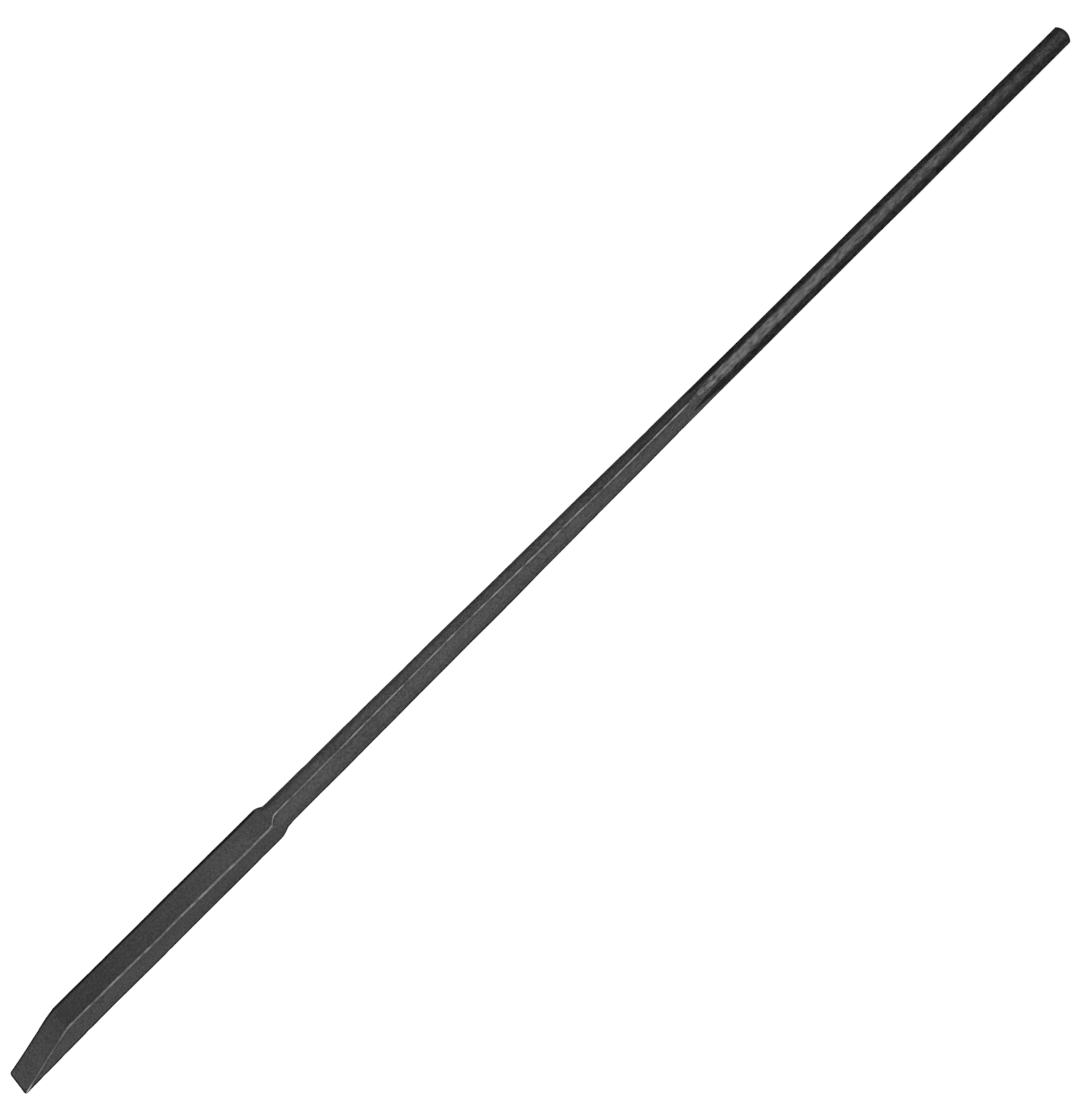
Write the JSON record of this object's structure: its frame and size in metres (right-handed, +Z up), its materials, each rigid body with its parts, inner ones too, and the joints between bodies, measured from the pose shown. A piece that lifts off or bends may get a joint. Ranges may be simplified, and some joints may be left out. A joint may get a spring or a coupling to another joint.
{
  "type": "chisel-pointed steel bar",
  "caption": "Long one-piece forged steel bar with a single-bevel chisel point, square blade, octagonal shank and round handle.",
  "frame": {"origin": "middle of the bar's length and width, on the plane of the blade's flat underside", "axes": "+X along the bar from the cutting edge to the struck head, +Z up out of the bevelled face, +Y across, to the left when looking along +X"},
  "size_m": [1.524, 0.0336, 0.0318],
  "materials": {
    "bevel": "matte black over a filed bevel, lighter along its edges",
    "flats": "matte black forging finish, rubbed lighter along the edges",
    "round": "satin black, smoother than the flats"
  },
  "bodies": {
    "root": {"point": "bevel", "blade": "flats", "shoulder": "flats", "octagonal_shank": "flats", "run_out": "flats", "handle": "round", "head": "round"}
  },
  "joints": []
}
